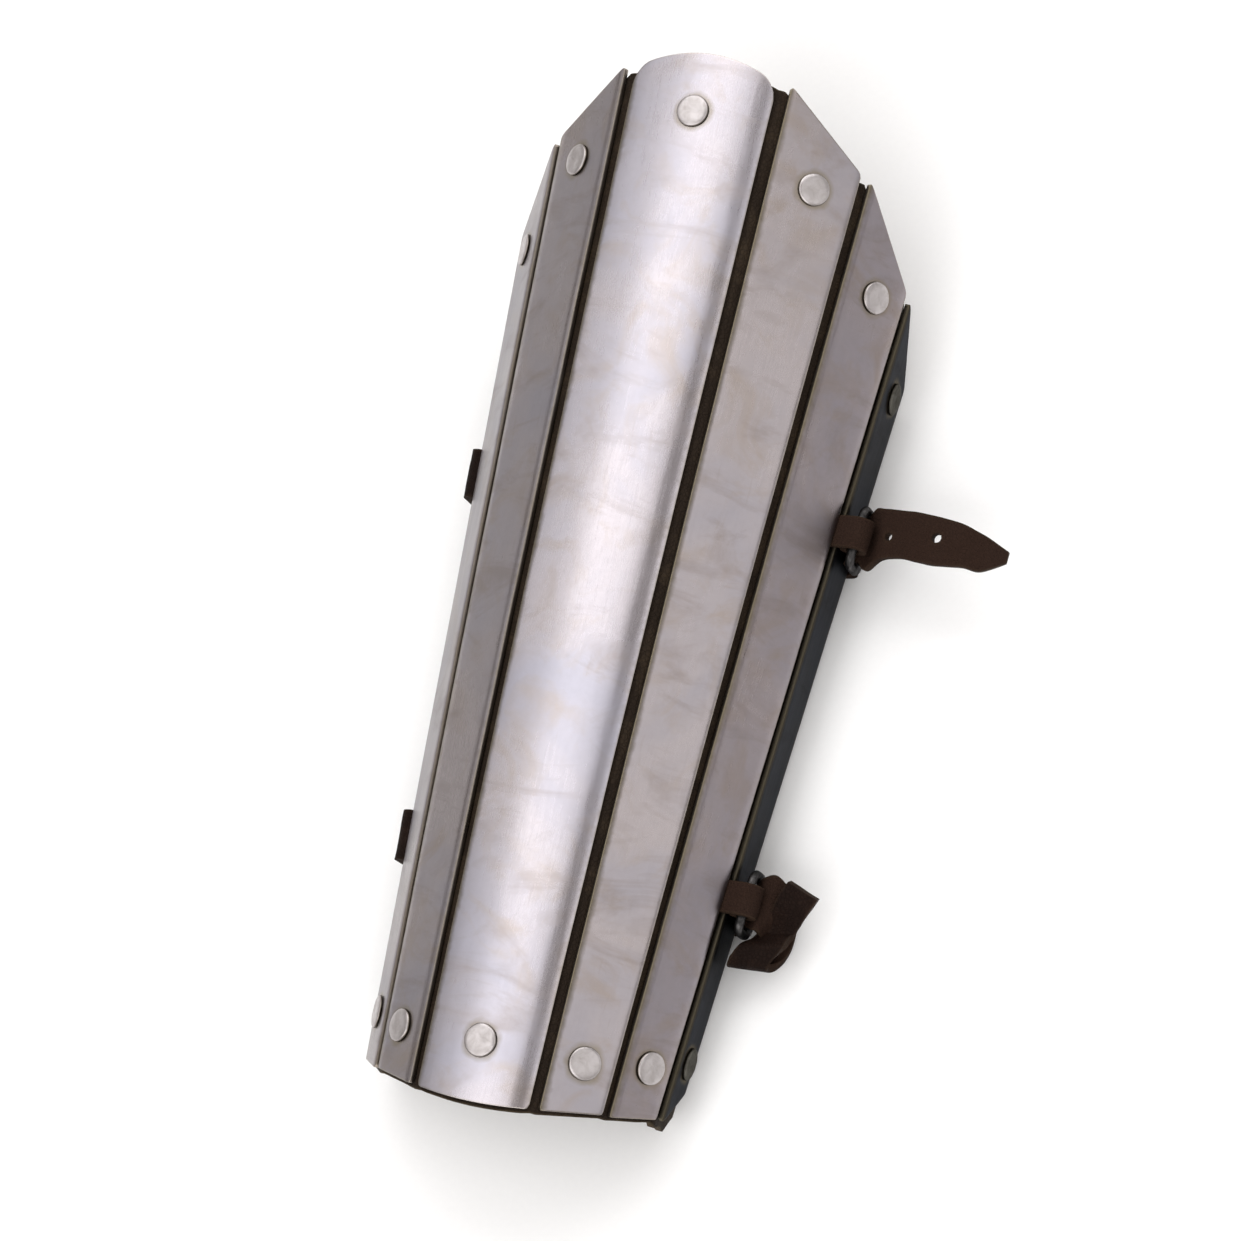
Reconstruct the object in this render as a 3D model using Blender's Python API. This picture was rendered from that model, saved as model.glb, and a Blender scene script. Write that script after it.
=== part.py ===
"""Splinted bracer: seven steel splints riveted side by side on one bent leather backing.

Metres, +Z up, +Y from the wrist end to the elbow end, X = 0 the plane of symmetry of the splints.
It lies on its open side: the far edges of the outer splints are level and rest on the two leather
straps that cross underneath. The origin is under the middle of the upper strap.
"""
import math

import bmesh
import bpy
from mathutils import Vector

# Driving dimensions
LENGTH = 0.250
STEEL = 0.0015
LEATHER = 0.0020
CLEAR = 0.0003

CENTRE_WIDTH_WRIST = 0.0282
CENTRE_WIDTH_ELBOW = 0.0364
CENTRE_ARCH = 12.0
CENTRE_SPANS = 12
CROWN_ROUNDING = 0.0047
CROWN_ROUNDING_WRIST = 0.0012
CENTRE_RIVET_WRIST = 0.0130
CENTRE_RIVET_ELBOW = 0.0100

# The flat splints of one side, from the centre outwards: slope below level in degrees, width at the
# wrist and at the elbow, then shares of LENGTH where the inner and outer edge end at the wrist and
# at the elbow, and how far the rivets stand from the ends.
SIDE_SPLINTS = (
    # slope, wrist, elbow, inner lo, outer lo, inner hi, outer hi, rivet lo, rivet hi
    (36.0, 0.0150, 0.0227, 0.001, 0.013, 1.002, 0.942, 0.0120, 0.0147),
    (57.5, 0.0134, 0.0211, 0.013, 0.025, 0.940, 0.856, 0.0127, 0.0147),
    (92.0, 0.0114, 0.0184, 0.025, 0.064, 0.852, 0.779, 0.0110, 0.0125),
)
CENTRE_GAP_WRIST = 0.0028
CENTRE_GAP_ELBOW = 0.0038
SIDE_GAP_WRIST = 0.0020
SIDE_GAP_ELBOW = 0.0031

BACKING_PROUD_WRIST = 0.0008
BACKING_SHY_ELBOW = 0.0010
BACKING_OVERHANG = 0.0008

RIVET_ACROSS = 0.53
RIVET_HEAD_RADIUS = 0.0040
RIVET_HEAD_HEIGHT = 0.0010
RIVET_RIM = 0.0005
RIVET_SHANK_RADIUS = 0.0015
RIVET_TAIL_RADIUS = 0.0027
RIVET_TAIL_HEIGHT = 0.0008
RIVET_SIDES = 16
SHARP_ANGLE = 35.0

STRAP_THICK = 0.0020
STRAP_WIDTH = 0.0124
STRAP_Y = {"lower": 0.0615, "upper": 0.1535}
STRAP_CORNER = 0.0012
STRAP_WAIST = 0.80
STRAP_LIFT_OFF = 60.0
TAB_LENGTH = 0.0100
CHAPE_WRAP = 280.0
HOLE_RADIUS = 0.0011
HOLE_FIRST = 0.0084
HOLE_SPACING = 0.0118
HOLE_COUNT = 2

RING_WIRE = 0.0012
RING_WIRE_RESOLUTION = 3
RING_SPACING = 0.0084
RING_CORNER = 0.0024
STRAP_SLACK = 0.0010
CHAPE_SLACK = 0.0008

# Where the straps' ends go once they are through the rings, in shares of STRAP_WIDTH from the
# middle of the ring's lower limb: outwards, along and upwards of each edge of the strap.
TAIL_UPPER = (
    # out, along, up of the edge towards the wrist, then of the edge towards the elbow
    (0.05, -0.40, 0.27, 0.05, 0.40, 0.27),
    (0.28, -0.47, 0.40, 0.28, 0.54, 0.40),
    (0.68, -0.48, 0.61, 0.68, 0.50, 0.62),
    (1.05, -0.48, 0.76, 1.05, 0.48, 0.78),
    (1.45, -0.48, 0.85, 1.45, 0.48, 0.87),
    (1.95, -0.49, 0.88, 1.93, 0.42, 0.90),
    (2.28, -0.50, 0.88, 2.22, 0.30, 0.89),
    (2.54, -0.50, 0.86, 2.54, 0.17, 0.87),
    (2.98, -0.18, 0.82, 2.95, -0.02, 0.83),
)
TAIL_LOWER = (
    (0.05, -0.40, 0.27, 0.05, 0.40, 0.27),
    (0.21, -0.46, 0.30, 0.18, 0.58, 0.31),
    (0.24, -0.46, 0.28, 0.46, 0.62, 0.30),
    (0.24, -0.50, 0.22, 0.78, 0.43, 0.24),
    (0.22, -0.58, 0.14, 1.00, 0.08, 0.16),
    (0.18, -0.68, 0.05, 1.08, -0.34, 0.06),
    (0.12, -0.82, -0.04, 1.01, -0.70, -0.03),
    (0.08, -0.98, -0.04, 0.93, -0.94, -0.04),
    (0.08, -1.12, 0.08, 0.90, -1.09, 0.08),
    (0.10, -1.18, 0.27, 0.90, -1.15, 0.27),
    (0.16, -1.14, 0.45, 0.93, -1.05, 0.45),
    (0.26, -0.97, 0.56, 0.98, -0.85, 0.55),
    (0.40, -0.68, 0.61, 1.01, -0.64, 0.57),
    (0.54, -0.24, 0.62, 1.08, -0.42, 0.57),
    (0.60, 0.16, 0.62, 1.22, -0.03, 0.57),
    (0.69, 0.55, 0.62, 1.34, 0.38, 0.58),
)
ARC_STEP = 18.0

# Worked out from the driving dimensions
PASS_GAP = STRAP_THICK + 2 * CLEAR
WALL = STEEL + CLEAR + LEATHER
STRAP_OUT = CLEAR + STRAP_THICK / 2
RING_OUT = CLEAR + STRAP_THICK + CLEAR + RING_WIRE
WRAP_RADIUS = RING_WIRE + STRAP_OUT
FOOT = STRAP_THICK + CLEAR + BACKING_OVERHANG
RING_HALF_WIDTH = STRAP_WIDTH * STRAP_WAIST / 2 + STRAP_SLACK + RING_WIRE
CHAPE_WIDTH = 2 * (RING_HALF_WIDTH - RING_CORNER - CHAPE_SLACK)
CUT_REACH = 2 * WALL
MERGE = STEEL / 100
LAST = len(SIDE_SPLINTS) - 1

for old in list(bpy.data.objects):
    bpy.data.objects.remove(old, do_unlink=True)


def material(name, color, roughness, metallic=0.0):
    mat = bpy.data.materials.new(name)
    mat.use_nodes = True
    shader = mat.node_tree.nodes["Principled BSDF"]
    shader.inputs["Base Color"].default_value = (*color, 1.0)
    shader.inputs["Roughness"].default_value = roughness
    shader.inputs["Metallic"].default_value = metallic
    return mat


MATERIALS = {
    "splint_steel": material("splint_steel", (0.56, 0.53, 0.54), 0.34, 1.0),
    "rivet_steel": material("rivet_steel", (0.60, 0.58, 0.56), 0.40, 1.0),
    "ring_iron": material("ring_iron", (0.14, 0.12, 0.11), 0.45, 1.0),
    "backing_leather": material("backing_leather", (0.055, 0.036, 0.024), 0.75),
    "strap_leather": material("strap_leather", (0.050, 0.026, 0.016), 0.65),
}

base = bpy.data.objects.new("bracer", None)
base.location = (0, -STRAP_Y["upper"], 0)
bpy.context.collection.objects.link(base)


def add(name, bm, slot):
    bmesh.ops.recalc_face_normals(bm, faces=bm.faces)
    mesh = bpy.data.meshes.new(name)
    bm.to_mesh(mesh)
    bm.free()
    obj = bpy.data.objects.new(name, mesh)
    bpy.context.collection.objects.link(obj)
    obj.parent = base
    if slot:
        mesh.materials.append(MATERIALS[slot])
    else:
        obj.hide_render = True
        obj.display_type = "WIRE"
    return obj


def loft(rings, bm=None):
    """One closed body through rings of corners, capped at its first and last ring."""
    bm = bm or bmesh.new()
    rows = [[bm.verts.new(corner) for corner in ring] for ring in rings]
    count = len(rows[0])
    for row, after in zip(rows, rows[1:]):
        for i in range(count):
            j = (i + 1) % count
            bm.faces.new((row[i], row[j], after[j], after[i]))
    bm.faces.new(rows[0])
    bm.faces.new(rows[-1])
    return bm


def cut(obj, cutter):
    mod = obj.modifiers.new(cutter.name, "BOOLEAN")
    mod.operation = "DIFFERENCE"
    mod.solver = "EXACT"
    mod.object = cutter


# Sections across the bracer: points are Vectors (x, z) of the right half at a distance y
def heading(slope):
    slope = math.radians(slope)
    return Vector((math.cos(slope), -math.sin(slope)))


def outward(slope):
    slope = math.radians(slope)
    return Vector((math.sin(slope), math.cos(slope)))


def blend(low, high, y):
    return low + (high - low) * y / LENGTH


def slopes():
    return [CENTRE_ARCH] + [row[0] for row in SIDE_SPLINTS]


def bisector(gap):
    """Slope of the gap before side splint number gap."""
    return (slopes()[gap] + slopes()[gap + 1]) / 2


def gap_width(gap, y):
    if gap == 0:
        return blend(CENTRE_GAP_WRIST, CENTRE_GAP_ELBOW, y)
    if gap == 1:
        return blend(SIDE_GAP_WRIST, SIDE_GAP_ELBOW, y)
    return PASS_GAP


def centre_radius(y):
    return blend(CENTRE_WIDTH_WRIST, CENTRE_WIDTH_ELBOW, y) / 2 / math.sin(math.radians(CENTRE_ARCH))


def side_edges(y):
    """Outer corners (inner edge, outer edge) of each side splint, with the far edge at FOOT."""
    radius = centre_radius(y)
    arch = math.radians(CENTRE_ARCH)
    point = Vector((radius * math.sin(arch), -radius * (1 - math.cos(arch))))
    edges = []
    for number, row in enumerate(SIDE_SPLINTS):
        inner = point + gap_width(number, y) * heading(bisector(number))
        point = inner + blend(row[1], row[2], y) * heading(row[0])
        edges.append((inner, point))
    lift = Vector((0, FOOT - point.y))
    return [(inner + lift, outer + lift) for inner, outer in edges], lift.y


def centre_point(y, slope, depth=0.0):
    """Point of the centre splint where it slopes by so many degrees, so deep below its outer face."""
    radius = centre_radius(y)
    crown = side_edges(y)[1]
    middle = Vector((0, crown - radius))
    return middle + (radius - depth) * outward(slope)


def side_corner(number, y, at_outer, depth=0.0):
    """Corner of a side splint; its edges face each other squarely across the gaps."""
    slope = SIDE_SPLINTS[number][0]
    point = side_edges(y)[0][number][at_outer]
    gap = number + at_outer
    if gap < len(SIDE_SPLINTS):
        edge_slope = bisector(gap)
    else:
        edge_slope = slope
    return point - depth / math.cos(math.radians(edge_slope - slope)) * outward(edge_slope)


def gap_middle(gap, y):
    """Middle of a gap, level with the outer corners of the splints beside it."""
    edges = side_edges(y)[0]
    return edges[gap][0] - heading(bisector(gap)) * gap_width(gap, y) / 2


def gap_bend(gap, y, depth):
    """Where the faces of the splints beside a gap would meet, so deep below them."""
    half_turn = math.radians(slopes()[gap + 1] - slopes()[gap]) / 2
    peak = gap_middle(gap, y) + gap_width(gap, y) / 2 * math.tan(half_turn) * outward(bisector(gap))
    return peak - depth / math.cos(half_turn) * outward(bisector(gap))


def place(point, y, side=1):
    return Vector((side * point.x, y, point.y))


def wall_ring(profile, depth_out, depth_in, y_low, y_high, side=1):
    """Four corners of a wall across its thickness and its length."""
    return (place(profile(y_low, depth_out), y_low, side),
            place(profile(y_high, depth_out), y_high, side),
            place(profile(y_high, depth_in), y_high, side),
            place(profile(y_low, depth_in), y_low, side))


# End lines of the centre splint and of the backing
def centre_end(slope, corner, rounding):
    return corner + rounding * (1 - (slope / CENTRE_ARCH) ** 2)


def centre_splint():
    rings = []
    for i in range(CENTRE_SPANS + 1):
        slope = CENTRE_ARCH * (2 * i / CENTRE_SPANS - 1)
        rings.append(wall_ring(lambda y, depth: centre_point(y, slope, depth), 0, STEEL,
                               centre_end(slope, 0, -CROWN_ROUNDING_WRIST),
                               centre_end(slope, LENGTH, CROWN_ROUNDING)))
    return add("centre_splint", loft(rings), "splint_steel")


def side_splint(number, side, side_name):
    row = SIDE_SPLINTS[number]
    rings = []
    for at_outer in (0, 1):
        rings.append(wall_ring(lambda y, depth: side_corner(number, y, at_outer, depth), 0, STEEL,
                               row[3 + at_outer] * LENGTH, row[5 + at_outer] * LENGTH, side))
    return add(f"splint_{number + 1}_{side_name}", loft(rings), "splint_steel")


def backing_profiles():
    """Profiles of the right half of the backing with their end lines, from the crown outwards."""
    profiles = []
    for i in range(CENTRE_SPANS // 2 + 1):
        slope = 2 * CENTRE_ARCH * i / CENTRE_SPANS
        profiles.append((lambda y, depth, slope=slope: centre_point(y, slope, depth),
                         centre_end(slope, 0, -CROWN_ROUNDING_WRIST),
                         centre_end(slope, LENGTH, CROWN_ROUNDING)))
    low_before, high_before = 0.0, 1.0
    for gap, row in enumerate(SIDE_SPLINTS):
        profiles.append((lambda y, depth, gap=gap: gap_bend(gap, y, depth),
                         (low_before + row[3]) / 2 * LENGTH, (high_before + row[5]) / 2 * LENGTH))
        low_before, high_before = row[4], row[6]
    last = len(SIDE_SPLINTS) - 1
    over = heading(SIDE_SPLINTS[last][0]) * BACKING_OVERHANG
    profiles.append((lambda y, depth: side_corner(last, y, 1, depth) + over,
                     low_before * LENGTH, high_before * LENGTH))
    return profiles


def backing():
    half = backing_profiles()
    rings = []
    for side, profiles in ((-1, half[:0:-1]), (1, half)):
        for profile, low, high in profiles:
            rings.append(wall_ring(profile, STEEL + CLEAR, WALL, low - BACKING_PROUD_WRIST,
                                   high - BACKING_SHY_ELBOW, side))
    return add("backing", loft(rings), "backing_leather")


# Rivets: a seat is a point on the outer face, the direction out of it and the splint's name
def flat_seat(number, side, y):
    def corner(at_outer, along):
        return place(side_corner(number, along, at_outer), along, side)

    inner, outer = corner(0, y), corner(1, y)
    along = corner(0, y + STEEL) - inner
    normal = (outer - inner).cross(along).normalized()
    if normal.x * side < 0:
        normal.negate()
    return inner.lerp(outer, RIVET_ACROSS), normal


def crown_seat(y):
    here = place(centre_point(y, 0), y)
    along = place(centre_point(y + STEEL, 0), y + STEEL) - here
    return here, Vector((1, 0, 0)).cross(along).normalized()


def rivet_seats():
    seats = [("rivet_centre_wrist", *crown_seat(CENTRE_RIVET_WRIST)),
             ("rivet_centre_elbow", *crown_seat(LENGTH - CENTRE_RIVET_ELBOW))]
    for number, row in enumerate(SIDE_SPLINTS):
        low = (row[3] + row[4]) / 2 * LENGTH + row[7]
        high = (row[5] + row[6]) / 2 * LENGTH - row[8]
        for side, side_name in ((-1, "left"), (1, "right")):
            for end, y in (("wrist", low), ("elbow", high)):
                seats.append((f"rivet_{number + 1}_{side_name}_{end}", *flat_seat(number, side, y)))
    return seats


def turned(profile, seat, normal, bm=None):
    """A round body from (radius, height) pairs, turned about the normal of its seat."""
    bm = bm or bmesh.new()
    turn = normal.to_track_quat("Z", "Y")
    verts = [bm.verts.new(seat + turn @ Vector((radius, 0, height))) for radius, height in profile]
    edges = [bm.edges.new(pair) for pair in zip(verts, verts[1:])]
    bmesh.ops.spin(bm, geom=verts + edges, cent=seat, axis=normal, angle=2 * math.pi,
                   steps=RIVET_SIDES, use_merge=True)
    ends = [v for v in bm.verts if (v.co - seat).cross(normal).length < MERGE]
    bmesh.ops.remove_doubles(bm, verts=ends, dist=MERGE)
    return bm


def rivet(name, seat, normal):
    top = CLEAR + RIVET_HEAD_HEIGHT
    end = -(WALL + CLEAR)
    profile = ((0, top), (RIVET_HEAD_RADIUS - RIVET_RIM, top), (RIVET_HEAD_RADIUS, top - RIVET_RIM),
               (RIVET_HEAD_RADIUS, CLEAR), (RIVET_SHANK_RADIUS, CLEAR), (RIVET_SHANK_RADIUS, end),
               (RIVET_TAIL_RADIUS, end), (RIVET_TAIL_RADIUS - RIVET_RIM, end - RIVET_TAIL_HEIGHT),
               (0, end - RIVET_TAIL_HEIGHT))
    obj = add(name, turned(profile, seat, normal), "rivet_steel")
    obj.data.shade_smooth()
    obj.data.set_sharp_from_angle(angle=math.radians(SHARP_ANGLE))
    return obj


def rivet_hole(name, seat, normal):
    radius = RIVET_SHANK_RADIUS + CLEAR
    profile = ((0, STEEL), (radius, STEEL), (radius, -CUT_REACH), (0, -CUT_REACH))
    return add(name, turned(profile, seat, normal), None)


# Straps, chapes and rings
def arc(centre, radius, start, end):
    """Points of an arc in the section, from one angle to another, in degrees from +X towards +Z."""
    steps = max(1, math.ceil(abs(end - start) / ARC_STEP))
    points = []
    for i in range(steps + 1):
        angle = math.radians(start + (end - start) * i / steps)
        points.append(centre + radius * Vector((math.cos(angle), math.sin(angle))))
    return points


def meet(point_a, way_a, point_b, way_b):
    """Where two lines of the section cross."""
    turn = way_a.x * way_b.y - way_a.y * way_b.x
    gap = point_b - point_a
    return point_a + way_a * ((gap.x * way_b.y - gap.y * way_b.x) / turn)


def rounded(before, corner, after, radius):
    """Arc that rounds the corner of a line before, corner, after."""
    way_in = (corner - before).normalized()
    way_out = (after - corner).normalized()
    turn = way_in.angle(way_out)
    inside = (way_out - way_in).normalized()
    centre = corner + inside * radius / math.cos(turn / 2)
    start = corner - way_in * radius * math.tan(turn / 2) - centre
    sign = math.copysign(1, way_in.x * way_out.y - way_in.y * way_out.x)
    first = math.degrees(math.atan2(start.y, start.x))
    return arc(centre, radius, first, first + sign * math.degrees(turn))


def pass_line(y):
    """The line on which leather leaves the gap before the last splint: a point and a direction."""
    return gap_middle(LAST, y), outward(bisector(LAST))


def tab_path(y):
    """From the tab inside the backing to the turn into the slit."""
    before = SIDE_SPLINTS[LAST - 1][0]
    middle, out = pass_line(y)
    deep = side_corner(LAST - 1, y, 1) - (WALL + STRAP_OUT) * outward(before)
    corner = meet(deep, heading(before), middle, out)
    start = corner - heading(before) * TAB_LENGTH
    return [start] + rounded(start, corner, corner + out, STRAP_OUT)


def face_point(y, out, up):
    """Point beside the last splint, out from its outer face and up from its far edge."""
    slope = SIDE_SPLINTS[LAST][0]
    return side_corner(LAST, y, 1) + outward(slope) * out - heading(slope) * up


def limb_centre(y):
    """Middle of the ring's upper limb, with the chape's leather bent round it."""
    slope = SIDE_SPLINTS[LAST][0]
    middle, out = pass_line(y)
    below = middle + heading(bisector(LAST)) * WRAP_RADIUS
    return meet(below, out, face_point(y, RING_OUT, 0), heading(slope))


def lower_limb(y):
    return limb_centre(y) + heading(SIDE_SPLINTS[LAST][0]) * RING_SPACING


def foot_corner(y):
    """Rounded corner where the strap turns from the last splint's face to the ground."""
    level = face_point(y, STRAP_OUT, 0)
    slope = SIDE_SPLINTS[LAST][0]
    corner = meet(level, heading(slope), Vector((0, STRAP_THICK / 2)), Vector((1, 0)))
    return rounded(level, corner, Vector((0, STRAP_THICK / 2)), STRAP_THICK / 2 + STRAP_CORNER)


def strap_root(y):
    """The fastened side: from the tab through the slit, down the last splint to the ground."""
    slope = SIDE_SPLINTS[LAST][0]
    middle, out = pass_line(y)
    corner = meet(middle, out, face_point(y, STRAP_OUT, 0), heading(slope))
    turn = rounded(middle, corner, corner + heading(slope), STRAP_OUT)
    return tab_path(y) + turn + foot_corner(y)


def strap_rise(y):
    """The ring's side: from the ground up the last splint and round the ring's lower limb."""
    slope = SIDE_SPLINTS[LAST][0]
    back = 180.0 + 90.0 - slope
    return foot_corner(y)[::-1] + arc(lower_limb(y), WRAP_RADIUS, back, back - STRAP_LIFT_OFF)


def chape_path(y):
    slope = bisector(LAST)
    top = 180.0 - slope
    return tab_path(y) + arc(limb_centre(y), WRAP_RADIUS, top, top - CHAPE_WRAP)


def edge_pairs(path, y, half_widths, side):
    """Edges of a strip whose path is worked out at its two edges."""
    count = len(path(y))
    pairs = []
    for i in range(count):
        share = half_widths[0] + (half_widths[1] - half_widths[0]) * i / (count - 1)
        half = STRAP_WIDTH / 2 * share
        pairs.append((place(path(y - half)[i], y - half, side), place(path(y + half)[i], y + half, side)))
    return pairs


def ring_frame(y):
    """Middle of the ring's lower limb and the ring's directions: out, along and up."""
    along = (place(limb_centre(y + STRAP_WIDTH), y + STRAP_WIDTH) - place(limb_centre(y), y)).normalized()
    rise = -heading(SIDE_SPLINTS[LAST][0])
    up = Vector((rise.x, 0, rise.y))
    out = along.cross(up).normalized()
    return place(lower_limb(y), y), out, along, out.cross(along)


def tail_pairs(y, rows):
    start, out, along, up = ring_frame(y)
    pairs = []
    for row in rows:
        edges = [start + STRAP_WIDTH * (out * row[i] + along * row[i + 1] + up * row[i + 2])
                 for i in (0, 3)]
        pairs.append(tuple(edges))
    return pairs


def strip(name, pairs, thickness, slot):
    """A leather strip through pairs of edge points, half its thickness to each side of them."""
    rings = []
    for i, (low, high) in enumerate(pairs):
        before = pairs[max(i - 1, 0)]
        after = pairs[min(i + 1, len(pairs) - 1)]
        ways = []
        for near, here, far in ((before[0], low, after[0]), (before[1], high, after[1])):
            way = Vector()
            if here != near:
                way += (here - near).normalized()
            if far != here:
                way += (far - here).normalized()
            ways.append(way)
        normal = (high - low).cross(ways[0] + ways[1]).normalized() * thickness / 2
        rings.append((low + normal, high + normal, high - normal, low - normal))
    return add(name, loft(rings), slot)


def strap(name, y, tail):
    left = edge_pairs(strap_root, y, (1, 1), -1)
    right = edge_pairs(strap_rise, y, (1, STRAP_WAIST), 1)
    return strip(f"strap_{name}", left + right + tail_pairs(y, tail), STRAP_THICK, "strap_leather")


def chape(name, y):
    share = CHAPE_WIDTH / STRAP_WIDTH
    return strip(f"chape_{name}", edge_pairs(chape_path, y, (share, share), 1), STRAP_THICK, "strap_leather")


def ring(name, y):
    start, out, along, up = ring_frame(y)
    curve = bpy.data.curves.new(f"ring_{name}", "CURVE")
    curve.dimensions = "3D"
    curve.bevel_depth = RING_WIRE
    curve.bevel_resolution = RING_WIRE_RESOLUTION
    flat = RING_HALF_WIDTH - RING_CORNER
    corners = ((flat, RING_CORNER, -90), (flat, RING_SPACING - RING_CORNER, 0),
               (-flat, RING_SPACING - RING_CORNER, 90), (-flat, RING_CORNER, 180))
    points = []
    for across, height, first in corners:
        points += arc(Vector((across, height)), RING_CORNER, first, first + 90)
    spline = curve.splines.new("POLY")
    spline.points.add(len(points) - 1)
    for place_on, point in zip(spline.points, points):
        place_on.co = (*(start + along * point.x + up * point.y), 1)
    spline.use_cyclic_u = True
    spline.use_smooth = True
    obj = bpy.data.objects.new(curve.name, curve)
    bpy.context.collection.objects.link(obj)
    obj.parent = base
    curve.materials.append(MATERIALS["ring_iron"])
    return obj


def slit(name, y, width, side):
    """Cutter for the slit that a strip of this width needs in the backing."""
    rings = []
    for edge in (y - width / 2 - CLEAR, y + width / 2 + CLEAR):
        middle, out = pass_line(edge)
        across = heading(bisector(LAST)) * PASS_GAP / 2
        near = middle - out * STEEL / 2
        far = middle - out * CUT_REACH
        corners = (near - across, near + across, far + across, far - across)
        rings.append([place(corner, edge, side) for corner in corners])
    return add(name, loft(rings), None)


def strap_hole(name, y, distance):
    start, out, along, up = ring_frame(y)
    seat = start + out * distance
    reach = 2 * STRAP_WIDTH
    profile = ((0, reach), (HOLE_RADIUS, reach), (HOLE_RADIUS, 0), (0, 0))
    return add(name, turned(profile, seat, Vector((0, 0, 1))), None)


plates = [centre_splint()]
for index in range(len(SIDE_SPLINTS)):
    for mirror, mirror_name in ((-1, "left"), (1, "right")):
        plates.append(side_splint(index, mirror, mirror_name))
carrier = backing()

for rivet_name, rivet_seat, rivet_way in rivet_seats():
    rivet(rivet_name, rivet_seat, rivet_way)
    hole = rivet_hole(f"{rivet_name}_hole", rivet_seat, rivet_way)
    cut(carrier, hole)
    for plate in plates:
        if plate.name.replace("splint", "rivet") in rivet_name or (
                plate.name == "centre_splint" and "centre" in rivet_name):
            cut(plate, hole)

for strap_name, strap_y in STRAP_Y.items():
    ring(strap_name, strap_y)
    chape(strap_name, strap_y)
    band = strap(strap_name, strap_y, {"upper": TAIL_UPPER, "lower": TAIL_LOWER}[strap_name])
    cut(carrier, slit(f"slit_left_{strap_name}", strap_y, STRAP_WIDTH, -1))
    cut(carrier, slit(f"slit_right_{strap_name}", strap_y, CHAPE_WIDTH, 1))
    if strap_name == "upper":
        for index in range(HOLE_COUNT):
            cut(band, strap_hole(f"strap_hole_{index + 1}", strap_y, HOLE_FIRST + HOLE_SPACING * index))
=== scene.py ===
import math

import bmesh
import bpy
from mathutils import Matrix, Vector, noise


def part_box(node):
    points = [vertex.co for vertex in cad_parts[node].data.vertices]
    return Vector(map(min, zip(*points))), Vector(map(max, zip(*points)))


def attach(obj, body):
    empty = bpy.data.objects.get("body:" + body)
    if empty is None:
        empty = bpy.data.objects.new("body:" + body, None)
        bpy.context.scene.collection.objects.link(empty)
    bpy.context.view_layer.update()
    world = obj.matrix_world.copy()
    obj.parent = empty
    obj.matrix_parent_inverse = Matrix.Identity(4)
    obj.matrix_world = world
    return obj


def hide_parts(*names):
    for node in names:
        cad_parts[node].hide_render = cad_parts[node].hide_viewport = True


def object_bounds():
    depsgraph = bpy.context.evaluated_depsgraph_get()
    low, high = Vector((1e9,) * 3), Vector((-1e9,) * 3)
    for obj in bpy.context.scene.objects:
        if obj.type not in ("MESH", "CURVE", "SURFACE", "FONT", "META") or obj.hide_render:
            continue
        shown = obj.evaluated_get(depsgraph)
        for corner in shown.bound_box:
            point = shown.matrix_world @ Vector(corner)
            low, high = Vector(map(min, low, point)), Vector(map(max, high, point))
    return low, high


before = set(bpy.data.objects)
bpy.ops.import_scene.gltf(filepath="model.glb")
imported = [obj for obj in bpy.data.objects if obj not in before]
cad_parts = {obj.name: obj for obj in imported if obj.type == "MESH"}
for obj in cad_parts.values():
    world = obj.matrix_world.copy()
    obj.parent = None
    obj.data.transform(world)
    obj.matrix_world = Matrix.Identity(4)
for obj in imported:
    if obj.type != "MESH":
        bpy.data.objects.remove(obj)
cad_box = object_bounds()
noise.seed_set(7)  # noise_vector would follow the clock otherwise, and differ from run to run

# Sizes are in metres and angles in degrees

# Sheet and gaps, as the frame has them
STEEL = 0.0015
LEATHER = 0.0020
CLEAR = 0.0003
WALL = STEEL + CLEAR + LEATHER
SIDES = ((-1, "left"), (1, "right"))

# Finish of the splints
PLATE_ROWS = 46
PLATE_COLUMNS = 6
CROWN_COLUMNS = 20
EDGE_STEPS = (0.0004, 0.0009, 0.0015, 0.0023, 0.0034)
EDGE_BEVEL = 0.00022
PLATE_ROLL = 0.00034
PLATE_ROLL_WIDTH = 0.0018
CROWN_ROLL = 0.00060
CROWN_ROLL_WIDTH = 0.0038
# Darkening along the long edges of the splints, full towards -X and weaker towards +X: partly grime, partly
# painted shade for the dark gaps
EDGE_GRIME_SHADE_WIDTH = 0.0017
EDGE_GRIME_SHADE_LEFT = 1.0  # on the edges towards -X
EDGE_GRIME_SHADE_RIGHT = 0.3  # on the edges towards +X
SHEET_WAVE = 0.00007
SHEET_WAVE_SCALE = 42.0
PLATE_CORNER = 0.0008
CROWN_CORNER_ELBOW = 0.0042
CROWN_CORNER_WRIST = 0.0012
CROWN_ROUNDING_ELBOW = 0.0047
CROWN_ROUNDING_WRIST = 0.0012

# Rivets
HEAD_RADIUS = 0.0040
HEAD_HEIGHT = 0.0010
HEAD_SINK = 0.00040
HEAD_ROUND = 0.00060
HEAD_DOME = 0.00016
SHANK_RADIUS = 0.0015
TAIL_RADIUS = 0.0027
TAIL_HEIGHT = 0.0008
RIVET_STEPS = 40
RIVET_WAVE = 0.00007
RIVET_WAVE_SCALE = 420.0
# Crown of a head: share of its radius, share of its dome
HEAD_CROWN = ((0.0, -0.4), (0.30, -0.1), (0.62, 0.0))
# Rounded shoulder of a head: angle round it, how grimy it is
HEAD_SHOULDER = ((80, 0.0), (55, 0.0), (30, 0.5), (0, 1.0))

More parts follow.
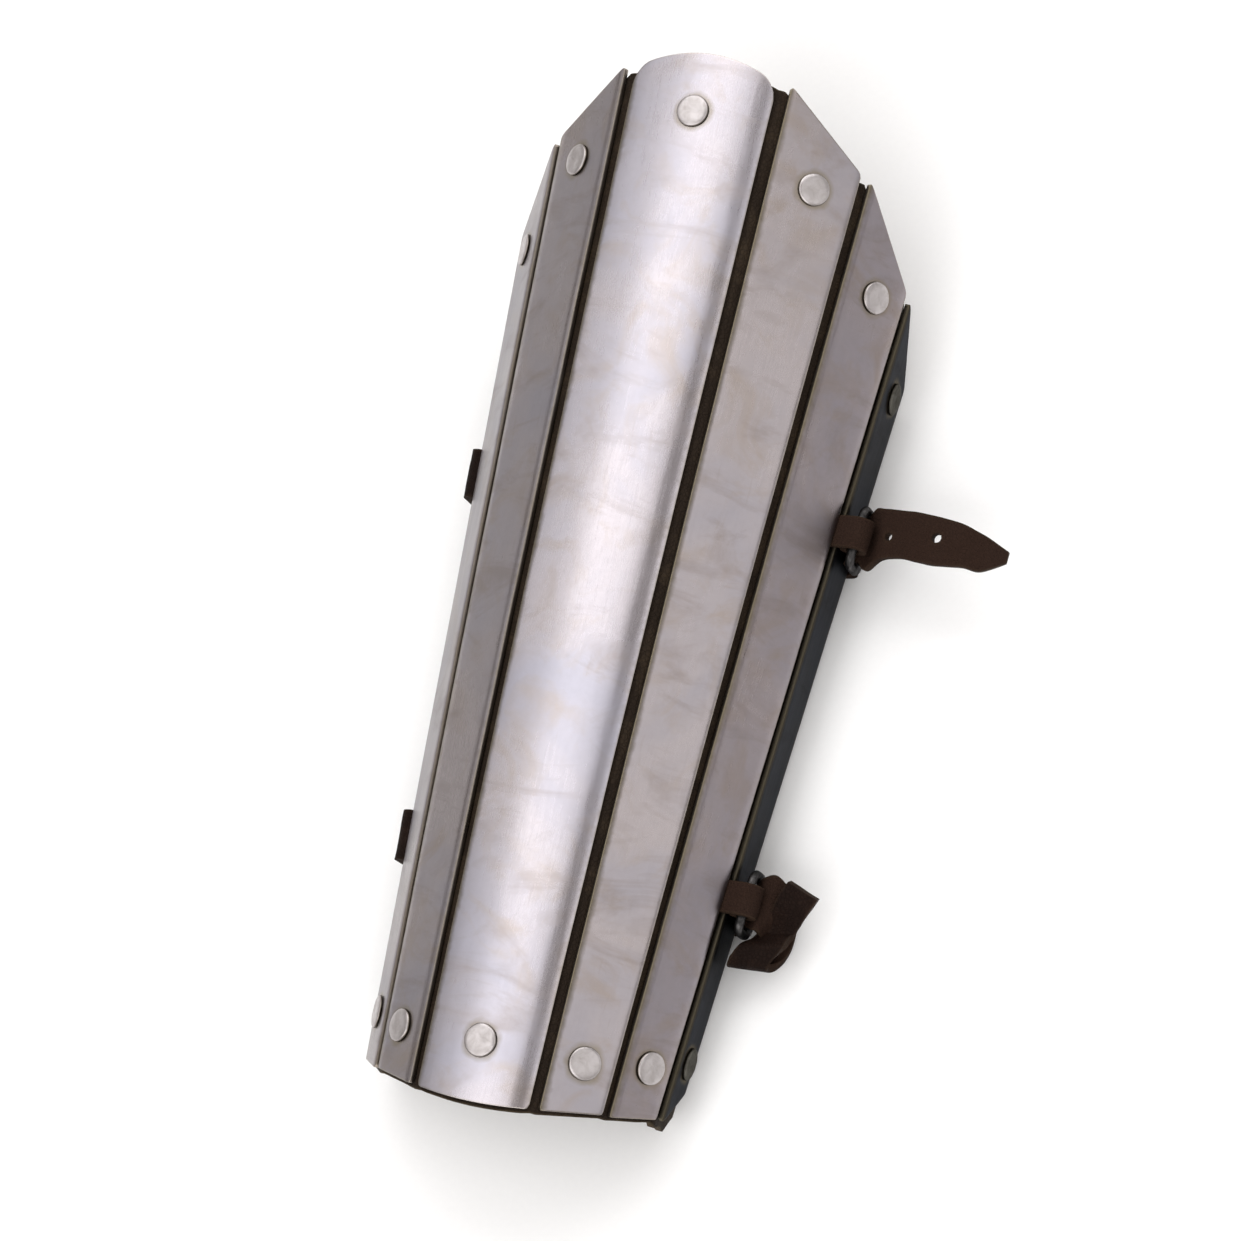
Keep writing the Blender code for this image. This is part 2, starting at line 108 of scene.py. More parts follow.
# Backing
BEND_RADIUS = 0.0030
BACKING_OVERHANG = 0.0008  # past the last splint's long edge
BACKING_PROUD_WRIST = 0.0008
BACKING_SHY_ELBOW = 0.0010
BACKING_EDGE_STEP = 0.0005
BACKING_BEVEL = 0.00045
BACKING_WAVE = 0.00012
BACKING_WAVE_SCALE = 130.0
CROWN_HALF_COLUMNS = 7
BEND_COLUMNS = 7
FLAT_SHARES = (0.33, 0.67)
BACKING_ROW_START = 0.022
BACKING_ROW_STEP = 0.0085
BACKING_ROWS = 18
BACKING_ROW_CLEAR = 0.003
BACKING_END_ROWS = 7
# How far the right wrist corner reaches past the last splint's end: on the bend, the flat and the edge
BACKING_CORNER_BEND = 0.0008
BACKING_CORNER_FLATS = (0.0032, 0.0070)
BACKING_CORNER_EDGES = (0.0070, 0.0060)

# Straps, chapes and rings
STRAP_THICK = 0.0020
STRAP_WIDTH = 0.0124
STRAP_WAIST = 0.80
STRAP_CORNER = 0.0012
STRAP_LIFT_OFF = 60.0  # how far a strap turns round the ring before its free end
TAB_LENGTH = 0.0100
CHAPE_WIDTH = 0.0079
CHAPE_WRAP = 280.0
RING_WIRE = 0.0012
RING_SPACING = 0.0084
STRAP_COLUMNS = 16
STRAP_BEVEL = 0.00040
STRAP_WAVE = 0.00014
STRAP_WAVE_SCALE = 230.0
STRAP_INSIDE = 0.015  # height of the middle that the flesh sides face
FLOOR_CLEAR = 0.00002  # lowest that the leather may lie
TAIL_STEPS = 8
ARC_STEP = 10.0
PASS_GAP = STRAP_THICK + 2 * CLEAR
STRAP_OUT = CLEAR + STRAP_THICK / 2
RING_OUT = CLEAR + STRAP_THICK + CLEAR + RING_WIRE
WRAP_RADIUS = RING_WIRE + STRAP_OUT

# Where the straps' ends go once they are through the rings, in shares of STRAP_WIDTH from the
# middle of the ring's lower limb. Columns: out, along and up of the wrist-side edge of the strap,
# then out, along and up of its elbow-side edge
TAIL_UPPER = (
    (0.05, -0.40, 0.27, 0.05, 0.40, 0.27),
    (0.24, -0.52, 0.24, 0.20, 0.68, 0.40),
    (0.51, -0.30, 0.46, 0.40, 0.70, 0.50),
    (0.89, -0.22, 0.61, 0.68, 0.71, 0.61),
    (1.24, -0.23, 0.74, 1.10, 0.72, 0.75),
    (1.57, -0.24, 0.82, 1.56, 0.70, 0.84),
    (1.94, -0.20, 0.86, 1.99, 0.68, 0.88),
    (2.26, -0.15, 0.88, 2.37, 0.58, 0.90),
    (2.62, -0.16, 0.87, 2.70, 0.48, 0.89),
    (3.06, 0.12, 0.83, 3.06, 0.34, 0.84),
)
TAIL_LOWER = (
    (0.05, -0.40, 0.27, 0.05, 0.40, 0.27),
    (0.20, -0.44, 0.36, 0.19, 0.58, 0.40),
    (0.24, -0.44, 0.38, 0.38, 0.68, 0.42),
    (0.27, -0.46, 0.30, 0.62, 0.52, 0.34),
    (0.28, -0.50, 0.14, 0.82, 0.24, 0.16),
    (0.22, -0.58, -0.06, 0.90, -0.12, -0.06),
    (0.12, -0.72, -0.22, 0.88, -0.48, -0.22),
    (0.00, -0.88, -0.27, 0.80, -0.76, -0.26),
    (-0.12, -1.04, -0.19, 0.70, -0.94, -0.18),
    (-0.17, -1.13, -0.02, 0.62, -1.03, -0.02),
    (-0.16, -1.12, 0.17, 0.64, -1.02, 0.16),
    (-0.10, -1.00, 0.29, 0.74, -0.84, 0.27),
    (0.02, -0.82, 0.31, 0.86, -0.62, 0.28),
    (0.20, -0.64, 0.20, 0.90, -0.43, 0.18),
    (0.26, -0.44, 0.10, 0.95, -0.31, 0.12),
    (0.34, -0.22, 0.17, 1.02, -0.18, 0.20),
    (0.44, 0.04, 0.34, 1.10, -0.02, 0.34),
    (0.56, 0.34, 0.52, 1.21, 0.17, 0.48),
    (0.70, 0.61, 0.64, 1.33, 0.42, 0.58),
)

# Holes through the upper free end: row of its table, share of its width, radius
HOLES_UPPER = ((2.5, 0.44, 0.00105), (5.125, 0.56, 0.00120))
HOLE_CELLS = 2  # cells from a hole's middle to its border
HOLE_SPREAD = 1.6  # the next cells go halfway to a circle of this many radii

# Tones of the splints: the centre, then splint_1 to splint_3. Their fall to near black on splint_3 is painted
# shade for plates turning down
CENTRE_TONE = (0.48, 0.445, 0.470)
SPLINT_TONES = ((0.365, 0.328, 0.332), (0.285, 0.250, 0.255), (0.036, 0.038, 0.044))
CENTRE_ROUGHNESS = 0.28
# Roughness, sheen at grazing angles and strength of the grime of splint_1 to splint_3; splint_3's low sheen and
# grime are painted shade
SPLINT_FINISH = ((0.30, 1.0, 1.0), (0.30, 1.0, 1.0), (0.34, 0.52, 0.5))
# The left side's splints are painted darker than the right side's, as shade; their steel is the same
LEFT_SHADE = 0.82  # share of their tone that the splints of the left side have
STEEL_COOL = (0.90, 0.945, 1.02)
STEEL_WARM = (0.88, 0.83, 0.74)
STEEL_DULL = (0.72, 0.68, 0.63)
# Colour of the edge darkening, partly grime and partly painted shade
EDGE_GRIME_SHADE_TONE = (0.115, 0.095, 0.060)
RIM_TONE = (0.25, 0.215, 0.15)
HALO_TONE = (0.20, 0.165, 0.10)
HALO_START = 0.0001
HALO_END = 0.0014
HALO_RAGGED = 0.0012

# Noise in the materials: scale, detail, roughness, distortion
CLOUDS = (26.0, 4.0, 0.55, 0.8)
STAINS = (62.0, 5.0, 0.6, 1.2)
SMUDGES = (1.0, 6.0, 0.62, 1.6)
GRAIN = (520.0, 5.0, 0.65)
LINES = (1.0, 4.0, 0.7)
SCRATCHES = (1.0, 2.0, 0.5)
SWELLS = (48.0, 2.0)
RUBS = (95.0, 5.0, 0.62, 0.9)
CREASES = (1.0, 4.0, 0.6, 1.0)
# Stretch of the object's space for the noise that runs one way
SMUDGE_STRETCH = (30, 75, 30)
LINE_STRETCH = (1500, 26, 1500)
SCRATCH_STRETCH = (700, 60, 700)
SCRATCH_TURN = (0.2, 0.5, 0.9)  # in radians
CREASE_STRETCH = (60, 420, 60)


# Reading the frame: the outer corners of the splints
def cad_copy(name):
    bm = bmesh.new()
    bm.from_mesh(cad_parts[name].data)
    bmesh.ops.remove_doubles(bm, verts=bm.verts, dist=1e-6)
    return bm


def read_splint(name):
    """Long edges of a flat splint's outer face on the right side, inner then outer, wrist to elbow."""
    bm = cad_copy(name)
    bmesh.ops.convex_hull(bm, input=bm.verts)
    bmesh.ops.dissolve_limit(bm, angle_limit=math.radians(1), verts=bm.verts, edges=bm.edges)
    broad = sorted(bm.faces, key=lambda face: -face.calc_area())[:2]
    outer = max(broad, key=lambda face: face.normal.x)
    corners = sorted((v.co.copy() for v in outer.verts), key=lambda co: co.y)
    wrist = sorted(corners[:2], key=lambda co: -co.z)
    elbow = sorted(corners[-2:], key=lambda co: -co.z)
    bm.free()
    return (wrist[0], elbow[0]), (wrist[1], elbow[1])


def read_centre():
    """Lines of the centre splint's outer face: its right edge and its crown, each from wrist to elbow."""
    bm = cad_copy("centre_splint")
    middle = sum(v.co.y for v in bm.verts) / len(bm.verts)
    lines = []
    for key in (lambda co: co.x, lambda co: co.z - abs(co.x)):
        ends = []
        for side in (-1, 1):
            half = [v.co for v in bm.verts if (v.co.y - middle) * side > 0]
            ends.append(max(half, key=key).copy())
        lines.append(tuple(ends))
    bm.free()
    return lines


def on_line(line, y):
    """Point (x, z) of a line of the frame at a distance y, also past its ends."""
    low, high = line
    point = low + (high - low) * (y - low.y) / (high.y - low.y)
    return Vector((point.x, point.z))


SPLINT_LINES = [read_splint(f"splint_{number}_right") for number in (1, 2, 3)]
CENTRE_EDGE, CENTRE_CROWN = read_centre()
LAST = len(SPLINT_LINES) - 1
STRAP_Y = {name: sum(corner.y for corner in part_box(f"ring_{name}")) / 2 for name in ("upper", "lower")}


# Sections across the bracer: Vectors (x, z) of the right half at a distance y
def turned_down(way):
    """Slope of a direction of the section, in degrees below level."""
    return math.degrees(math.atan2(-way.y, way.x))


def heading(slope):
    slope = math.radians(slope)
    return Vector((math.cos(slope), -math.sin(slope)))


def outward(slope):
    slope = math.radians(slope)
    return Vector((math.sin(slope), math.cos(slope)))


def splint_slope(number, y=0.0):
    inner, outer = SPLINT_LINES[number]
    return turned_down(on_line(outer, y) - on_line(inner, y))


def arch(y):
    """Radius, half angle in degrees and centre of the centre splint's outer face."""
    edge = on_line(CENTRE_EDGE, y)
    crown = on_line(CENTRE_CROWN, y)
    sink = crown.y - edge.y
    radius = (edge.x ** 2 + sink ** 2) / (2 * sink)
    return radius, math.degrees(math.asin(edge.x / radius)), Vector((0, crown.y - radius))


def crown_point(y, share, depth=0.0):
    """Point of the centre splint at a share of its half angle, so deep below its outer face."""
    radius, half_angle, centre = arch(y)
    return centre + (radius - depth) * outward(half_angle * share)


def place(point, y, side=1):
    return Vector((side * point.x, y, point.y))


def arc(centre, radius, start, end):
    """Points of an arc in the section, from one angle to another, in degrees from +X towards +Z."""
    steps = max(1, math.ceil(abs(end - start) / ARC_STEP))
    points = []
    for i in range(steps + 1):
        angle = math.radians(start + (end - start) * i / steps)
        points.append(centre + radius * Vector((math.cos(angle), math.sin(angle))))
    return points


def meet(point_a, way_a, point_b, way_b):
    """Where two lines of the section cross."""
    turn = way_a.x * way_b.y - way_a.y * way_b.x
    gap = point_b - point_a
    return point_a + way_a * ((gap.x * way_b.y - gap.y * way_b.x) / turn)


def rounded(before, corner, after, radius):
    """Arc that rounds the corner of a line before, corner, after."""
    way_in = (corner - before).normalized()
    way_out = (after - corner).normalized()
    turn = way_in.angle(way_out)
    inside = (way_out - way_in).normalized()
    centre = corner + inside * radius / math.cos(turn / 2)
    start = corner - way_in * radius * math.tan(turn / 2) - centre
    sign = math.copysign(1, way_in.x * way_out.y - way_in.y * way_out.x)
    first = math.degrees(math.atan2(start.y, start.x))
    return arc(centre, radius, first, first + sign * math.degrees(turn))


# Mesh helpers
def patch(columns, rows, where, is_open=lambda i, j: False):
    """A grid of faces whose corner (i, j) goes to where(i, j), without the cells that is_open names."""
    bm = bmesh.new()
    bmesh.ops.create_grid(bm, x_segments=columns, y_segments=rows, size=0.5)
    opened = []
    for face in bm.faces:
        middle = face.calc_center_median()
        i = math.floor((middle.x + 0.5) * columns)
        j = math.floor((middle.y + 0.5) * rows)
        if is_open(i, j):
            opened.append(face)
    bmesh.ops.delete(bm, geom=opened, context="FACES")
    for v in bm.verts:
        v.co = where(round((v.co.x + 0.5) * columns), round((v.co.y + 0.5) * rows))
    return bm


def ruffle(bm, size, scale, seed):
    """Moves the points by smooth noise, as worked metal and leather are never quite even."""
    for v in bm.verts:
        v.co += size * noise.noise_vector(v.co * scale + Vector((seed, seed, seed)))


def face_outwards(bm, inwards):
    """Turns the faces of a surface away from the side that inwards(point) points to."""
    bmesh.ops.recalc_face_normals(bm, faces=bm.faces)
    probe = max(bm.faces, key=lambda face: face.calc_area())
    if probe.normal.dot(inwards(probe.calc_center_median())) > 0:
        bmesh.ops.reverse_faces(bm, faces=bm.faces)
    bm.normal_update()


def give_wall(bm, thickness, inwards):
    """Gives a surface its thickness on the side that inwards(point) points to."""
    face_outwards(bm, inwards)
    bmesh.ops.solidify(bm, geom=bm.faces, thickness=thickness)
    bmesh.ops.recalc_face_normals(bm, faces=bm.faces)


def soften_rim(bm, width, segments, layer):
    """Bevels the edges of a wall and marks them for the material."""
    sharp = [edge for edge in bm.edges if edge.calc_face_angle(0) > math.radians(55)]
    made = bmesh.ops.bevel(bm, geom=sharp, offset=width, offset_type="OFFSET", affect="EDGES",
                           segments=segments, profile=0.5, material=-1, clamp_overlap=True)
    for v in made["verts"]:
        v[layer] = 1.0


def finish_piece(name, bm, mat, slot, *nodes):
    mesh = bpy.data.meshes.new(name)
    bm.to_mesh(mesh)
    bm.free()
    mesh.shade_smooth()
    mesh.materials.append(mat)
    piece = bpy.data.objects.new(name, mesh)
    bpy.context.scene.collection.objects.link(piece)
    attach(piece, "root")
    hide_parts(*nodes)
    return piece


# Materials
def add_node(mat, kind, inputs=(), **settings):
    node = mat.node_tree.nodes.new(kind)
    for name, value in settings.items():
        setattr(node, name, value)
    for key, value in dict(inputs).items():
        if isinstance(value, bpy.types.NodeSocket):
            mat.node_tree.links.new(value, node.inputs[key])
        else:
            node.inputs[key].default_value = value
    return node


def new_material(name, roughness, metallic, sheen=1.0):
    mat = bpy.data.materials.new(name)
    mat.use_nodes = True
    shader = mat.node_tree.nodes["Principled BSDF"]
    shader.inputs["Roughness"].default_value = roughness
    shader.inputs["Metallic"].default_value = metallic
    shader.inputs["Specular Tint"].default_value = (sheen, sheen, sheen, 1.0)
    return mat, shader


def object_space(mat, scale=(1, 1, 1), shift=0.0, turn=(0, 0, 0)):
    place_on = add_node(mat, "ShaderNodeTexCoord").outputs["Object"]
    mapping = add_node(mat, "ShaderNodeMapping", {"Vector": place_on, "Scale": scale, "Rotation": turn,
                                                  "Location": (shift, shift * 0.7, shift * 1.3)})
    return mapping.outputs["Vector"]


def noise_field(mat, vector, scale, detail=3.0, roughness=0.5, distortion=0.0):
    texture = add_node(mat, "ShaderNodeTexNoise", {"Vector": vector, "Scale": scale, "Detail": detail,
                                                   "Roughness": roughness, "Distortion": distortion})
    return texture.outputs["Fac"]


def marked(mat, attribute):
    """How strongly the mesh marks a point for the material."""
    return add_node(mat, "ShaderNodeAttribute", attribute_name=attribute).outputs["Fac"]


def tinted(color, factors):
    return [part * factor for part, factor in zip(color, factors)]


def scaled(color, factor):
    return [part * factor for part in color]


def spread(mat, value, low, high, to_low=0.0, to_high=1.0):
    return add_node(mat, "ShaderNodeMapRange", {"Value": value, "From Min": low, "From Max": high,
                                                "To Min": to_low, "To Max": to_high}).outputs["Result"]


def math_node(mat, operation, a, b):
    return add_node(mat, "ShaderNodeMath", {0: a, 1: b}, operation=operation).outputs["Value"]


def mixed(mat, share, color_a, color_b):
    def full(color):
        return color if isinstance(color, bpy.types.NodeSocket) else (*color, 1.0)

    node = add_node(mat, "ShaderNodeMix", data_type="RGBA")
    for key, value in ((0, share), (6, full(color_a)), (7, full(color_b))):
        if isinstance(value, bpy.types.NodeSocket):
            mat.node_tree.links.new(value, node.inputs[key])
        else:
            node.inputs[key].default_value = value
    return node.outputs[2]


def connect(mat, socket, target):
    mat.node_tree.links.new(socket, target)


def bumped(mat, shader, layers):
    """Chains bump nodes: each layer is (height, depth in metres)."""
    normal = None
    for height, depth in layers:
        inputs = {"Height": height, "Distance": depth, "Strength": 1.0}
        if normal is not None:
            inputs["Normal"] = normal
        normal = add_node(mat, "ShaderNodeBump", inputs).outputs["Normal"]
    connect(mat, normal, shader.inputs["Normal"])


def steel_material(name, base, seed, rivets, roughness=0.30, sheen=1.0, soil=1.0):
    """Satin sheet steel: cloudy stains, fine lines along it, grime round its rivets, and grime with painted
    shade along its edges.

    sheen is how bright it is at grazing angles, and soil how pale its grime and rim are; lowering both paints
    shade."""
    mat, shader = new_material(name, roughness, 1.0, sheen)
    plain = object_space(mat, shift=seed)
    cool = tinted(base, STEEL_COOL)
    warm = tinted(base, STEEL_WARM)
    dull = tinted(base, STEEL_DULL)
    clouds = spread(mat, noise_field(mat, plain, *CLOUDS), 0.38, 0.68)
    stains = spread(mat, noise_field(mat, plain, *STAINS), 0.50, 0.70, 0.0, 0.75)
    smudged = noise_field(mat, object_space(mat, SMUDGE_STRETCH, seed), *SMUDGES)
    smudges = spread(mat, smudged, 0.52, 0.70, 0.0, 0.55)
    color = mixed(mat, clouds, base, cool)
    color = mixed(mat, stains, color, warm)
    color = mixed(mat, smudges, color, dull)
    grain = noise_field(mat, plain, *GRAIN)
    color = mixed(mat, spread(mat, grain, 0.35, 0.75, 0.0, 0.14), color, scaled(base, 0.6))
    lines = noise_field(mat, object_space(mat, LINE_STRETCH, seed), *LINES)
    scratches = noise_field(mat, object_space(mat, SCRATCH_STRETCH, seed, SCRATCH_TURN), *SCRATCHES)
    color = mixed(mat, spread(mat, scratches, 0.69, 0.74, 0.0, 0.16), color, dull)
    place_on = add_node(mat, "ShaderNodeTexCoord").outputs["Object"]
    for seat in rivets:
        gap = add_node(mat, "ShaderNodeVectorMath", {0: place_on, 1: tuple(seat)},
                       operation="DISTANCE").outputs["Value"]
        uneven = spread(mat, noise_field(mat, plain, 260.0), 0, 1, -HALO_RAGGED, HALO_RAGGED)
        ragged = math_node(mat, "ADD", gap, uneven)
        halo = spread(mat, ragged, HEAD_RADIUS + HALO_START, HEAD_RADIUS + HALO_END, 0.55, 0.0)
        color = mixed(mat, halo, color, HALO_TONE)
    # Grime and painted shade along the long edges, as the mesh marks them
    uneven = spread(mat, grain, 0.3, 0.7, -0.12, 0.12)
    soiled = spread(mat, math_node(mat, "ADD", marked(mat, "grime"), uneven), 0.15, 0.95, 0, 0.9)
    color = mixed(mat, soiled, color, scaled(EDGE_GRIME_SHADE_TONE, soil))
    worn_rim = math_node(mat, "MULTIPLY", marked(mat, "rim"), 0.45)
    color = mixed(mat, worn_rim, color, scaled(RIM_TONE, soil))
    connect(mat, color, shader.inputs["Base Color"])
    rough = math_node(mat, "ADD", spread(mat, clouds, 0, 1, roughness - 0.03, roughness + 0.04),
                      spread(mat, lines, 0.3, 0.7, -0.03, 0.04))
    rough = math_node(mat, "ADD", rough, math_node(mat, "MULTIPLY", soiled, 0.18))
    rough = math_node(mat, "ADD", rough, math_node(mat, "MULTIPLY", smudges, 0.10))
    connect(mat, rough, shader.inputs["Roughness"])
    swells = noise_field(mat, plain, *SWELLS)
    bumped(mat, shader, [(swells, 0.00010), (lines, 0.000005), (grain, 0.000006)])
    return mat


def rivet_material(name, face, blotched, soiled, sheen=1.0):
    """Peened steel: blotched flat heads, with grime down their sides."""
    mat, shader = new_material(name, 0.38, 1.0, sheen)
    plain = object_space(mat)
    blotch = spread(mat, noise_field(mat, plain, 420.0, 4.0, 0.6, 0.8), 0.40, 0.72)
    color = mixed(mat, blotch, face, blotched)
    color = mixed(mat, marked(mat, "rim"), color, soiled)
    connect(mat, color, shader.inputs["Base Color"])
    connect(mat, spread(mat, blotch, 0, 1, 0.34, 0.48), shader.inputs["Roughness"])
    dents = noise_field(mat, plain, 700.0, 3.0)
    fine = noise_field(mat, plain, 4000.0)
    bumped(mat, shader, [(dents, 0.00005), (fine, 0.00001)])
    return mat


def iron_material():
    """Dark iron, rubbed brighter in patches."""
    mat, shader = new_material("ring_iron", 0.42, 1.0, 0.5)
    plain = object_space(mat)
    worn = spread(mat, noise_field(mat, plain, 300.0, 4.0, 0.6, 0.5), 0.45, 0.70)
    color = mixed(mat, worn, (0.035, 0.034, 0.034), (0.11, 0.105, 0.105))
    connect(mat, color, shader.inputs["Base Color"])
    connect(mat, spread(mat, worn, 0, 1, 0.5, 0.32), shader.inputs["Roughness"])
    bumped(mat, shader, [(noise_field(mat, plain, 1600.0, 4.0), 0.00008)])
    return mat


def leather_material(name, dark, worn, cut_edge, flesh, grain_scale):
    """Dyed leather: pebbled grain, creases, rubbed faces, worn cut edges and a rougher flesh side."""
    mat, shader = new_material(name, 0.62, 0.0)
    plain = object_space(mat)
    cells = add_node(mat, "ShaderNodeTexVoronoi", {"Vector": plain, "Scale": grain_scale, "Randomness": 1.0},
                     feature="DISTANCE_TO_EDGE").outputs["Distance"]
    pebble = spread(mat, cells, 0.0, 0.16)
    pores = noise_field(mat, plain, grain_scale * 3.0, 3.0, 0.6)
    broad = noise_field(mat, plain, *RUBS)
    rubbed = spread(mat, broad, 0.46, 0.72)
    creases = noise_field(mat, object_space(mat, CREASE_STRETCH, 0.3), *CREASES)
    color = mixed(mat, rubbed, dark, worn)
    color = mixed(mat, spread(mat, pebble, 0, 1, 0.35, 0.0), color, scaled(dark, 0.4))
    side = marked(mat, "flesh")
    fibres = mixed(mat, spread(mat, pores, 0.35, 0.7), flesh, scaled(flesh, 0.62))
    color = mixed(mat, side, color, fibres)
    worn_rim = math_node(mat, "MULTIPLY", marked(mat, "rim"), spread(mat, broad, 0.35, 0.65, 0.25, 0.9))
    color = mixed(mat, worn_rim, color, cut_edge)
    connect(mat, color, shader.inputs["Base Color"])
    rough = math_node(mat, "ADD", spread(mat, rubbed, 0, 1, 0.66, 0.50), math_node(mat, "MULTIPLY", side, 0.25))
    connect(mat, rough, shader.inputs["Roughness"])
    shader.inputs["Specular IOR Level"].default_value = 0.07
    bumped(mat, shader, [(creases, 0.00035), (pebble, 0.00010), (pores, 0.00006)])
    return mat


RIVET_STEEL = rivet_material("rivet_steel", face=(0.47, 0.440, 0.440), blotched=(0.38, 0.350, 0.340),
                             soiled=(0.15, 0.125, 0.085))
# Darker rivet steel with less sheen for splint_3: painted shade, to go with that splint's painted tone
RIVET_PAINTED_SHADE = rivet_material("rivet_steel_painted_shade", face=(0.12, 0.115, 0.10), blotched=(0.07, 0.065, 0.055),
                            soiled=(0.03, 0.026, 0.02), sheen=0.45)
RING_IRON = iron_material()
BACKING_LEATHER = leather_material("backing_leather", dark=(0.018, 0.012, 0.008), worn=(0.034, 0.023, 0.014),
                                   cut_edge=(0.060, 0.045, 0.026), flesh=(0.12, 0.08, 0.052),
                                   grain_scale=900.0)
STRAP_LEATHER = leather_material("strap_leather", dark=(0.010, 0.0050, 0.0035), worn=(0.018, 0.0085, 0.0055),
                                 cut_edge=(0.032, 0.019, 0.012), flesh=(0.028, 0.015, 0.0105),
                                 grain_scale=1100.0)


# Splints
def stations(count, steps, length):
    """Shares of a length from 0 to 1: even steps, with the given closer ones at both ends."""
    ends = [step / length for step in steps]
    inner = [ends[-1] + (1 - 2 * ends[-1]) * i / count for i in range(1, count)]
    return [0.0] + ends + inner + [1 - share for share in reversed(ends)] + [1.0]


def hammer_edges(bm, outer, from_edge, inwards, depth, width):
    """Rolls the outer face down at the long edges and marks each point's edge grime, which is partly painted
    shade.

    from_edge(point) gives the distance to the nearest long edge and how strong that edge's grime and painted
    shade are."""
    grime = bm.verts.layers.float["grime"]
    for v in bm.verts:
        gap, soiled = from_edge(v.co)
        ragged = 1 + 0.5 * noise.noise(v.co * 90)
        v[grime] = soiled * max(0.0, 1 - gap / (EDGE_GRIME_SHADE_WIDTH * ragged))
        if v in outer:
            v.co += inwards * depth * max(0.0, 1 - gap / width) ** 2


def corner_drop(from_edge, radius):
    """How far a rounded corner falls back from the end line, so far in from the side edge."""
    if from_edge >= radius:
        return 0.0
    return radius - math.sqrt(radius ** 2 - (radius - max(from_edge, 0.0)) ** 2)


def side_splint(number, side, side_name, seats):
    (inner_low, inner_high), (outer_low, outer_high) = SPLINT_LINES[number]
    width = ((outer_low - inner_low).length + (outer_high - inner_high).length) / 2
    across = stations(PLATE_COLUMNS, EDGE_STEPS, width)
    along = stations(PLATE_ROWS, EDGE_STEPS[:2], (inner_high - inner_low).length)

    def where(i, j):
        u, v = across[i], along[j]
        low = inner_low.lerp(outer_low, u)
        high = inner_high.lerp(outer_high, u)
        drop = corner_drop(min(u, 1 - u) * width, PLATE_CORNER) / (high - low).length
        point = low.lerp(high, drop + (1 - 2 * drop) * v)
        return Vector((side * point.x, point.y, point.z))

    def from_edge(point):
        point = Vector((side * point.x, point.y, point.z))
        gaps = [(point - low).cross(high - low).length / (high - low).length
                for low, high in SPLINT_LINES[number]]
        # Edges towards -X get the full grime and painted shade, those towards +X a weaker share
        soiled = EDGE_GRIME_SHADE_LEFT if (gaps[0] < gaps[1]) == (side > 0) else EDGE_GRIME_SHADE_RIGHT
        return min(gaps), soiled

    bm = patch(len(across) - 1, len(along) - 1, where)
    rim = bm.verts.layers.float.new("rim")
    bm.verts.layers.float.new("grime")
    ruffle(bm, SHEET_WAVE, SHEET_WAVE_SCALE, 3.1 * number + side)
    outer = set(bm.verts)
    give_wall(bm, STEEL, lambda point: Vector((-side, 0, 0)))
    hammer_edges(bm, outer, from_edge, -outer_normal(number, side), PLATE_ROLL, PLATE_ROLL_WIDTH)
    soften_rim(bm, EDGE_BEVEL, 2, rim)
    # Tone of the splint, with painted shade: darker on the left side's splints, near black on splint_3
    tone = scaled(SPLINT_TONES[number], LEFT_SHADE if side < 0 else 1)
    mat = steel_material(f"splint_steel_{number + 1}_{side_name}", tone, 2.3 * number + side, seats,
                         *SPLINT_FINISH[number])
    name = f"splint_{number + 1}_{side_name}"
    return finish_piece(f"{name}_sheet", bm, mat, "splint_steel", name)


def centre_splint(seats):
    box_low, box_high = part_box("centre_splint")
    edge_low = CENTRE_EDGE[0].y
    edge_high = CENTRE_EDGE[1].y
    half_width = CENTRE_EDGE[1].x
    across = stations(CROWN_COLUMNS, EDGE_STEPS, 2 * half_width)
    along = stations(PLATE_ROWS, EDGE_STEPS[:2], box_high.y - box_low.y)

    def where(i, j):
        share = 2 * across[i] - 1
        inset = (1 - abs(share)) * half_width
        low = edge_low - CROWN_ROUNDING_WRIST * (1 - share ** 2) + corner_drop(inset, CROWN_CORNER_WRIST)
        high = edge_high + CROWN_ROUNDING_ELBOW * (1 - share ** 2) - corner_drop(inset, CROWN_CORNER_ELBOW)
        y = low + (high - low) * along[j]
        return place(crown_point(y, share), y)

    def from_edge(point):
        gap = max(0.0, on_line(CENTRE_EDGE, point.y).x - abs(point.x))
        # Edges towards -X get the full grime and painted shade, those towards +X a weaker share
        return gap, EDGE_GRIME_SHADE_LEFT if point.x < 0 else EDGE_GRIME_SHADE_RIGHT

    bm = patch(len(across) - 1, len(along) - 1, where)
    rim = bm.verts.layers.float.new("rim")
    bm.verts.layers.float.new("grime")
    ruffle(bm, SHEET_WAVE, SHEET_WAVE_SCALE, 9.0)
    outer = set(bm.verts)
    give_wall(bm, STEEL, lambda point: Vector((0, 0, -1)))
    hammer_edges(bm, outer, from_edge, Vector((0, 0, -1)), CROWN_ROLL, CROWN_ROLL_WIDTH)
    soften_rim(bm, EDGE_BEVEL, 2, rim)
    mat = steel_material("splint_steel_centre", CENTRE_TONE, 5.0, seats, CENTRE_ROUGHNESS)
    return finish_piece("centre_splint_sheet", bm, mat, "splint_steel", "centre_splint")


# Rivets
def outer_normal(number, side):
    inner, outer = SPLINT_LINES[number]
    normal = (outer[0] - inner[0]).cross(inner[1] - inner[0]).normalized()
    if normal.x < 0:
        normal.negate()
    return Vector((side * normal.x, normal.y, normal.z))


def crown_normal():
    return Vector((1, 0, 0)).cross(CENTRE_CROWN[1] - CENTRE_CROWN[0]).normalized()


